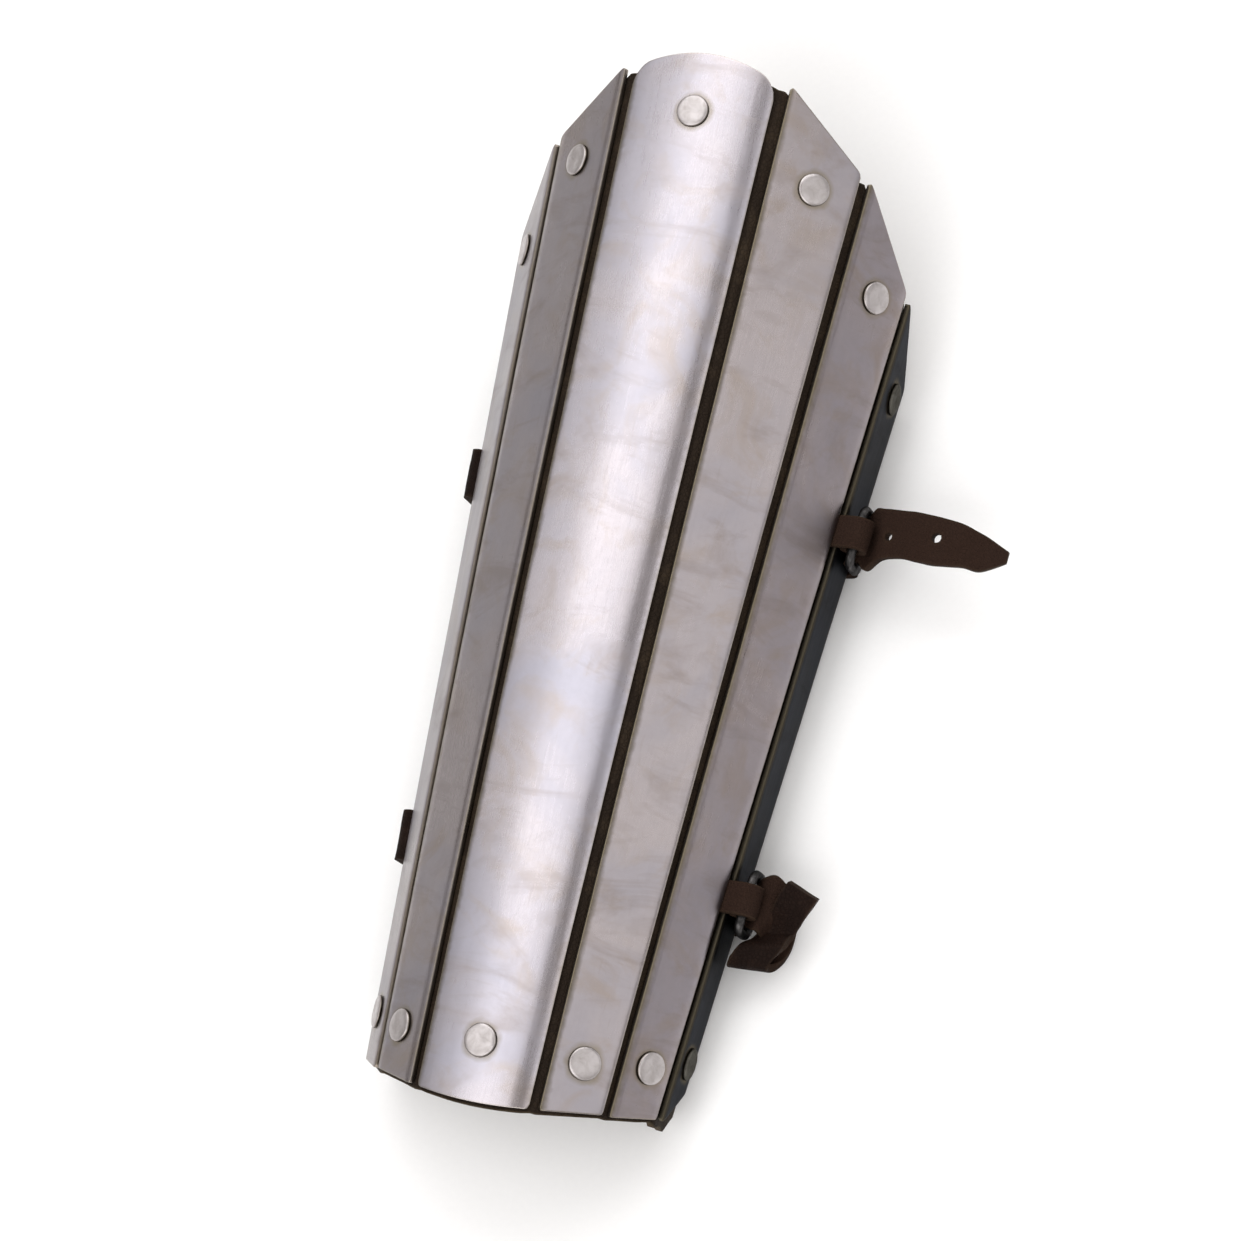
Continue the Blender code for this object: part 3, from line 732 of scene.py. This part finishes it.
def rivet_top(name, normal):
    """Middle of the top of a rivet's head in the frame."""
    points = [v.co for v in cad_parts[name].data.vertices]
    reach = max(point.dot(normal) for point in points)
    top = [point for point in points if reach - point.dot(normal) < 0.00005]
    middle = Vector()
    for point in top:
        middle += point
    return middle / len(top)


def rivet(name, normal, seed, mat=RIVET_STEEL):
    """One turned rivet, head, shank and peened end. Gives where its head sits on the splint."""
    seat = rivet_top(name, normal) - normal * HEAD_HEIGHT
    under = HEAD_SINK - HEAD_HEIGHT
    top = seat - normal * under
    end = under - CLEAR - WALL - CLEAR
    profile = [(HEAD_RADIUS * share, HEAD_DOME * rise, 0.0) for share, rise in HEAD_CROWN]
    profile.append((HEAD_RADIUS - HEAD_ROUND * 1.6, -HEAD_DOME * 0.2, 0.0))
    for angle, soil in HEAD_SHOULDER:
        turn = math.radians(angle)
        profile.append((HEAD_RADIUS - HEAD_ROUND * (1 - math.cos(turn)),
                        -HEAD_DOME * 0.5 - HEAD_ROUND * (1 - math.sin(turn)), soil))
    profile += [(HEAD_RADIUS - 0.00005, under + 0.00008, 1.0), (HEAD_RADIUS - 0.00025, under, 1.0),
                (SHANK_RADIUS, under, 1.0), (SHANK_RADIUS, end, 0.0), (TAIL_RADIUS, end, 0.0),
                (TAIL_RADIUS, end - TAIL_HEIGHT * 0.35, 0.0),
                (TAIL_RADIUS * 0.86, end - TAIL_HEIGHT * 0.8, 0.0),
                (TAIL_RADIUS * 0.5, end - TAIL_HEIGHT, 0.0), (0, end - TAIL_HEIGHT, 0.0)]
    bm = bmesh.new()
    rim = bm.verts.layers.float.new("rim")
    turn = normal.to_track_quat("Z", "Y")
    verts = [bm.verts.new(turn @ Vector((radius, 0, height))) for radius, height, soil in profile]
    for v, (radius, height, soil) in zip(verts, profile):
        v[rim] = soil
    edges = [bm.edges.new(pair) for pair in zip(verts, verts[1:])]
    bmesh.ops.spin(bm, geom=verts + edges, cent=(0, 0, 0), axis=normal, angle=2 * math.pi,
                   steps=RIVET_STEPS, use_merge=True)
    bmesh.ops.remove_doubles(bm, verts=bm.verts, dist=0.00001)
    bmesh.ops.recalc_face_normals(bm, faces=bm.faces)
    ruffle(bm, RIVET_WAVE, RIVET_WAVE_SCALE, seed)
    bmesh.ops.translate(bm, verts=bm.verts, vec=top)
    finish_piece(f"{name}_peened", bm, mat, "rivet_steel", name)
    return seat


def riveted_splints():
    """The centre splint, then the flat ones from the middle outwards, each after its rivets."""
    centre_splint([rivet(f"rivet_centre_{end}", crown_normal(), seed)
                   for end, seed in (("wrist", 1), ("elbow", 2))])
    for number in range(len(SPLINT_LINES)):
        # splint_3's rivets get the darker steel, as painted shade
        mat = RIVET_PAINTED_SHADE if number == LAST else RIVET_STEEL
        for side, side_name in SIDES:
            seats = [rivet(f"rivet_{number + 1}_{side_name}_{end}", outer_normal(number, side),
                           7 * number + 3 * side + end_seed, mat)
                     for end_seed, end in enumerate(("wrist", "elbow"))]
            side_splint(number, side, side_name, seats)


riveted_splints()


# Backing
def offset_line(number, y, depth):
    """A point and a direction of the line so deep below a splint; number -1 is the crown's edge."""
    if number < 0:
        half_angle = arch(y)[1]
        return crown_point(y, 1, depth), heading(half_angle)
    inner, outer = SPLINT_LINES[number]
    start, end = on_line(inner, y), on_line(outer, y)
    way = (end - start).normalized()
    return start - outward(turned_down(way)) * depth, way


def bend_point(number, y, index):
    """Point of the backing's bend before a splint, from the flat part on one side to the other."""
    depth = STEEL + CLEAR
    point_a, way_a = offset_line(number - 1, y, depth)
    point_b, way_b = offset_line(number, y, depth)
    corner = meet(point_a, way_a, point_b, way_b)
    reach = BEND_RADIUS * math.tan(way_a.angle(way_b) / 2)
    flat_from = max(PASS_GAP / 2, reach + CLEAR) if number == LAST else reach + CLEAR
    if index == 0:
        return corner - way_a * flat_from
    if index == BEND_COLUMNS - 1:
        return corner + way_b * flat_from
    share = (index - 1) / (BEND_COLUMNS - 3)
    start, end = corner - way_a * reach, corner + way_b * reach
    return start.lerp(corner, share).lerp(corner.lerp(end, share), share)


def flat_point(number, y, share, over=0.0):
    """Point of the backing below a splint, at a share of its width and so far over."""
    point, way = offset_line(number, y, STEEL + CLEAR)
    inner, outer = SPLINT_LINES[number]
    return point + way * ((on_line(outer, y) - on_line(inner, y)).length * share + over)


def backing_columns():
    """Columns of the right half of the backing's outer face, from the crown to its edge.

    Each has a function that gives its point at a distance y, its two end lines, and how far it
    reaches past the wrist end on the right side."""
    columns = []
    low_before, high_before = CENTRE_EDGE[0].y, CENTRE_EDGE[1].y
    for share in [i / CROWN_HALF_COLUMNS for i in range(CROWN_HALF_COLUMNS)]:
        low = low_before - CROWN_ROUNDING_WRIST * (1 - share ** 2)
        high = high_before + CROWN_ROUNDING_ELBOW * (1 - share ** 2)
        columns.append((lambda y, share=share: crown_point(y, share, STEEL + CLEAR), low, high, 0.0))
    for number, (inner, outer) in enumerate(SPLINT_LINES):
        low = (low_before + inner[0].y) / 2
        high = (high_before + inner[1].y) / 2
        for index in range(BEND_COLUMNS):
            past = BACKING_CORNER_BEND * index / (BEND_COLUMNS - 1) if number == LAST else 0.0
            columns.append((lambda y, number=number, index=index: bend_point(number, y, index),
                            low, high, past))
        for share, past in zip(FLAT_SHARES, BACKING_CORNER_FLATS):
            columns.append((lambda y, number=number, share=share: flat_point(number, y, share),
                            inner[0].y + (outer[0].y - inner[0].y) * share,
                            inner[1].y + (outer[1].y - inner[1].y) * share, past if number == LAST else 0.0))
        low_before, high_before = outer[0].y, outer[1].y
    for over, past in zip((-BACKING_EDGE_STEP, BACKING_OVERHANG), BACKING_CORNER_EDGES):
        columns.append((lambda y, over=over: flat_point(LAST, y, 1, over), low_before, high_before, past))
    return columns


def backing():
    """The bent leather below all splints, with slits where the straps and chapes pass."""
    half = backing_columns()
    columns = [(point, low, high, -1) for point, low, high, past in half[:0:-1]]
    columns += [(point, low - past, high, 1) for point, low, high, past in half]
    middle = len(half) - 1
    slit_start = CROWN_HALF_COLUMNS + (BEND_COLUMNS + len(FLAT_SHARES)) * LAST
    slit_columns = range(slit_start, slit_start + BEND_COLUMNS - 1)
    slits = []
    for name in ("lower", "upper"):
        for side, width in ((-1, STRAP_WIDTH), (1, CHAPE_WIDTH)):
            half_width = width / 2 + CLEAR
            slits.append((side, STRAP_Y[name] - half_width, STRAP_Y[name] + half_width))
    inside = [y for side, low, high in slits for y in (low, high)]
    spaced = [cad_box[0][1] + BACKING_ROW_START + BACKING_ROW_STEP * i for i in range(BACKING_ROWS)]
    inside += [y for y in spaced if min(abs(y - other) for other in inside) > BACKING_ROW_CLEAR]
    inside.sort()
    last = inside[-1]
    rows = 2 + len(inside) + BACKING_END_ROWS

    def row_y(low, high, j):
        """Two rows at the wrist end, the shared ones inside, and even ones up to the elbow end."""
        low -= BACKING_PROUD_WRIST
        high -= BACKING_SHY_ELBOW
        if j == 0:
            return low
        if j == 1:
            return low + EDGE_STEPS[0]
        if j < 2 + len(inside):
            return inside[j - 2]
        if j == rows:
            return high
        return last + (high - EDGE_STEPS[0] - last) * (j - 1 - len(inside)) / BACKING_END_ROWS

    def where(i, j):
        column, low, high, side = columns[i]
        y = row_y(low, high, j)
        return place(column(y), y, side)

    def is_open(i, j):
        side = 1 if i >= middle else -1
        column = i - middle if side > 0 else middle - 1 - i
        if column not in slit_columns or not 2 <= j < 2 + len(inside) - 1:
            return False
        y = (inside[j - 2] + inside[j - 1]) / 2
        return any(side == at and low < y < high for at, low, high in slits)

    bm = patch(len(columns) - 1, rows, where, is_open)
    rim = bm.verts.layers.float.new("rim")
    flesh = bm.verts.layers.float.new("flesh")
    outer = set(bm.verts)
    give_wall(bm, LEATHER, lambda point: Vector((-point.x, 0, -0.05)))
    outer_places = {v.co.to_tuple(6) for v in outer}
    for v in bm.verts:
        if v.co.to_tuple(6) not in outer_places:
            v[flesh] = 1.0
    soften_rim(bm, BACKING_BEVEL, 2, rim)
    ruffle(bm, BACKING_WAVE, BACKING_WAVE_SCALE, 4.0)
    return finish_piece("backing_leather_sheet", bm, BACKING_LEATHER, "backing_leather", "backing")


# Straps and chapes
def pass_line(y):
    """The line on which leather leaves the gap before the last splint: a point and a direction."""
    before = on_line(SPLINT_LINES[LAST - 1][1], y)
    after = on_line(SPLINT_LINES[LAST][0], y)
    slope = (splint_slope(LAST - 1, y) + splint_slope(LAST, y)) / 2
    return (before + after) / 2, outward(slope)


def tab_path(y):
    """Section line of a strip's hidden end: flat below the leather, then out through the gap."""
    slope = splint_slope(LAST - 1, y)
    middle, out = pass_line(y)
    deep = on_line(SPLINT_LINES[LAST - 1][1], y) - (WALL + STRAP_OUT) * outward(slope)
    corner = meet(deep, heading(slope), middle, out)
    start = corner - heading(slope) * TAB_LENGTH
    steps = [start.lerp(corner, share) for share in (0.0, 0.04, 0.3, 0.6)]
    return steps + rounded(start, corner, corner + out, STRAP_OUT)


def face_point(y, out, up):
    """Point beside the last splint, out from its outer face and up from its far edge."""
    slope = splint_slope(LAST, y)
    return on_line(SPLINT_LINES[LAST][1], y) + outward(slope) * out - heading(slope) * up


def limb_centre(y):
    """Middle of the ring's upper limb, with the chape's leather bent round it."""
    slope = splint_slope(LAST, y)
    middle, out = pass_line(y)
    bisector = (splint_slope(LAST - 1, y) + slope) / 2
    below = middle + heading(bisector) * WRAP_RADIUS
    return meet(below, out, face_point(y, RING_OUT, 0), heading(slope))


def lower_limb(y):
    """Middle of the ring's lower limb, where the strap turns round."""
    return limb_centre(y) + heading(splint_slope(LAST, y)) * RING_SPACING


def foot_corner(y):
    """Section line of the turn from beside the last splint to the ground."""
    level = face_point(y, STRAP_OUT, 0)
    corner = meet(level, heading(splint_slope(LAST, y)), Vector((0, STRAP_THICK / 2)), Vector((1, 0)))
    return rounded(level, corner, Vector((0, STRAP_THICK / 2)), STRAP_THICK / 2 + STRAP_CORNER)


def strap_root(y):
    """Section line of a strap from its hidden end to the middle of the ground, on the left side."""
    slope = splint_slope(LAST, y)
    middle, out = pass_line(y)
    corner = meet(middle, out, face_point(y, STRAP_OUT, 0), heading(slope))
    turn = rounded(middle, corner, corner + heading(slope), STRAP_OUT)
    foot = foot_corner(y)
    down = [turn[-1].lerp(foot[0], share) for share in (0.33, 0.66)]
    ground = [Vector((foot[-1].x * share, foot[-1].y)) for share in (0.75, 0.5, 0.25, 0.0)]
    return tab_path(y) + turn + down + foot + ground


def strap_rise(y):
    """Section line of a strap from the ground to where it leaves the ring, on the right side."""
    back = 180.0 + 90.0 - splint_slope(LAST, y)
    foot = foot_corner(y)[::-1]
    ground = [Vector((foot[0].x * share, foot[0].y)) for share in (0.25, 0.5, 0.75)]
    return ground + foot + arc(lower_limb(y), WRAP_RADIUS, back, back - STRAP_LIFT_OFF)


def chape_path(y):
    """Section line of a chape: its hidden end, and the wrap round the ring's upper limb."""
    slope = (splint_slope(LAST - 1, y) + splint_slope(LAST, y)) / 2
    top = 180.0 - slope
    return tab_path(y) + arc(limb_centre(y), WRAP_RADIUS, top, top - CHAPE_WRAP)


def edge_pairs(path, y, widths, side):
    """Points of both edges of a strip along a path, its width in shares of STRAP_WIDTH at both ends."""
    count = len(path(y))
    pairs = []
    for i in range(count):
        share = widths[0] + (widths[1] - widths[0]) * i / (count - 1)
        half = STRAP_WIDTH / 2 * share
        pairs.append((place(path(y - half)[i], y - half, side), place(path(y + half)[i], y + half, side)))
    return pairs


def ring_frame(y):
    """Middle of the ring's lower limb and the ring's directions: out, along and up."""
    along = (place(limb_centre(y + STRAP_WIDTH), y + STRAP_WIDTH) - place(limb_centre(y), y)).normalized()
    rise = -heading(splint_slope(LAST, y))
    up = Vector((rise.x, 0, rise.y))
    out = along.cross(up).normalized()
    return place(lower_limb(y), y), out, along, out.cross(along)


def tail_pairs(y, rows):
    """Edge points of a free end, on smooth curves through its rows."""
    start, out, along, up = ring_frame(y)
    edges = []
    for first in (0, 3):
        points = [start + STRAP_WIDTH * (out * row[first] + along * row[first + 1] + up * row[first + 2])
                  for row in rows]
        smooth = []
        for i in range(len(points) - 1):
            before = points[max(i - 1, 0)]
            after = points[min(i + 2, len(points) - 1)]
            for k in range(TAIL_STEPS):
                t = k / TAIL_STEPS
                a, b = points[i], points[i + 1]
                smooth.append(0.5 * (2 * a + (b - before) * t + (2 * before - 5 * a + 4 * b - after) * t ** 2
                                     + (3 * a - before - 3 * b + after) * t ** 3))
        smooth.append(points[-1])
        edges.append(smooth)
    return list(zip(*edges))


def strip(name, pairs, seed, node, holes=()):
    """A leather strip through pairs of edge points, half its thickness to each side of them.

    Each hole is a square of cells left open, its border drawn onto a circle."""

    def where(i, j):
        point = pairs[j][0].lerp(pairs[j][1], i / STRAP_COLUMNS)
        for row, column, radius in holes:
            steps = max(abs(i - column), abs(j - row))
            middle = pairs[row][0].lerp(pairs[row][1], column / STRAP_COLUMNS)
            away = point - middle
            if steps == HOLE_CELLS:
                return middle + away.normalized() * radius
            if steps == HOLE_CELLS + 1:
                return middle + away.normalized() * (away.length + HOLE_SPREAD * radius) / 2
        return point

    def is_open(i, j):
        return any(-HOLE_CELLS <= i - column < HOLE_CELLS and -HOLE_CELLS <= j - row < HOLE_CELLS
                   for row, column, radius in holes)

    bm = patch(STRAP_COLUMNS, len(pairs) - 1, where, is_open)
    bmesh.ops.remove_doubles(bm, verts=bm.verts, dist=0.000001)
    rim = bm.verts.layers.float.new("rim")
    flesh = bm.verts.layers.float.new("flesh")
    face_outwards(bm, lambda point: Vector((-point.x, 0, STRAP_INSIDE - point.z)))
    normals = {v: v.normal.copy() for v in bm.verts}
    for v, normal in normals.items():
        v.co += normal * STRAP_THICK / 2
    grain_side = set(bm.verts)
    bmesh.ops.solidify(bm, geom=bm.faces, thickness=STRAP_THICK)
    bmesh.ops.recalc_face_normals(bm, faces=bm.faces)
    for v in bm.verts:
        v[flesh] = 0.0 if v in grain_side else 1.0
    soften_rim(bm, STRAP_BEVEL, 2, rim)
    ruffle(bm, STRAP_WAVE, STRAP_WAVE_SCALE, seed)
    for v in bm.verts:
        v.co.z = max(v.co.z, FLOOR_CLEAR)
    return finish_piece(name, bm, STRAP_LEATHER, "strap_leather", node)


def strap(name, y, tail, seed, holes=()):
    before = edge_pairs(strap_root, y, (1, 1), -1) + edge_pairs(strap_rise, y, (1, STRAP_WAIST), 1)
    cut = [(len(before) + round(row * TAIL_STEPS), round(share * STRAP_COLUMNS), radius)
           for row, share, radius in holes]
    return strip(f"strap_{name}_leather", before + tail_pairs(y, tail), seed, f"strap_{name}", cut)


def chape(name, y, seed):
    share = CHAPE_WIDTH / STRAP_WIDTH
    return strip(f"chape_{name}_leather", edge_pairs(chape_path, y, (share, share), 1), seed, f"chape_{name}")


def ring(name):
    """The frame's ring wire, rounded once more."""
    bm = cad_copy(f"ring_{name}")
    piece = finish_piece(f"ring_{name}_wire", bm, RING_IRON, "ring_iron", f"ring_{name}")
    smooth = piece.modifiers.new("round", "SUBSURF")
    smooth.levels = 1
    smooth.render_levels = 1
    return piece


backing()
for strap_name, strap_tail, strap_seed, punched in (("upper", TAIL_UPPER, 11.0, HOLES_UPPER),
                                                    ("lower", TAIL_LOWER, 17.0, ())):
    strap(strap_name, STRAP_Y[strap_name], strap_tail, strap_seed, punched)
    chape(strap_name, STRAP_Y[strap_name], strap_seed + 2)
    ring(strap_name)


# Stage
CAMERA_PLACE = Vector((0.34980, -0.25655, 0.94623))
CAMERA_BACK = Vector((0.34550546, -0.22218007, 0.9117357))
CAMERA_UP = Vector((-0.15610052, 0.94442451, 0.28930082))
CAMERA_LENS = 121.6  # in millimetres
CAMERA_SENSOR = 36.0  # in millimetres
FLOOR_HALF = 3.0
FLOOR_TONES = ((0.88, 0.88, 0.88), (0.91, 0.91, 0.91))
WORLD_TONE = (0.40, 0.378, 0.365, 1)
# Softboxes, aimed at the origin. Columns: name, place, size, watts, turn about the beam
LIGHTS = (
    ("overhead", (-0.31, 0.10, 1.28), (0.50, 1.5), 4.2, 106),
    ("left_fill", (-1.00, 0.15, 1.05), (0.60, 1.3), 1.7, 0),
    ("right_fill", (1.20, 0.0, 0.95), (0.9, 1.4), 3.9, 0),
    ("front_fill", (0, -1.0, 0.95), (2.0, 1.1), 13.5, 0),
    ("back_fill", (0, 1.0, 0.95), (2.0, 1.1), 13.5, 0),
)


def camera():
    """The photo's camera, from the fit of the object to the photo."""
    data = bpy.data.cameras.new("camera")
    data.lens = CAMERA_LENS
    data.sensor_width = CAMERA_SENSOR
    data.sensor_fit = "HORIZONTAL"
    obj = bpy.data.objects.new("camera", data)
    right = CAMERA_UP.cross(CAMERA_BACK).normalized()
    up = CAMERA_BACK.cross(right).normalized()
    turn = Matrix((right, up, CAMERA_BACK.normalized())).transposed()
    obj.matrix_world = Matrix.Translation(CAMERA_PLACE) @ turn.to_4x4()
    bpy.context.scene.collection.objects.link(obj)
    bpy.context.scene.camera = obj


def softbox(name, where, size, power, spin):
    data = bpy.data.lights.new(name, "AREA")
    data.shape = "RECTANGLE"
    data.size, data.size_y = size
    data.energy = power
    obj = bpy.data.objects.new(name, data)
    turn = Vector(where).to_track_quat("Z", "Y").to_matrix().to_4x4()
    obj.matrix_world = Matrix.Translation(Vector(where)) @ turn @ Matrix.Rotation(math.radians(spin), 4, "Z")
    bpy.context.scene.collection.objects.link(obj)


def floor():
    """A pale sheet of paper to lie on."""
    bm = bmesh.new()
    bmesh.ops.create_grid(bm, x_segments=1, y_segments=1, size=FLOOR_HALF)
    mesh = bpy.data.meshes.new("floor")
    bm.to_mesh(mesh)
    bm.free()
    mat, shader = new_material("floor_paper", 0.9, 0.0)
    speckle = noise_field(mat, object_space(mat), 700.0, 2.0)
    connect(mat, mixed(mat, speckle, *FLOOR_TONES), shader.inputs["Base Color"])
    mesh.materials.append(mat)
    obj = bpy.data.objects.new("floor", mesh)
    bpy.context.scene.collection.objects.link(obj)


def surroundings():
    world = bpy.data.worlds.new("studio")
    world.use_nodes = True
    world.node_tree.nodes["Background"].inputs["Color"].default_value = WORLD_TONE
    world.node_tree.nodes["Background"].inputs["Strength"].default_value = 1.0
    bpy.context.scene.world = world


camera()
floor()
surroundings()
for light in LIGHTS:
    softbox(*light)
bpy.context.scene.view_settings.view_transform = "Standard"
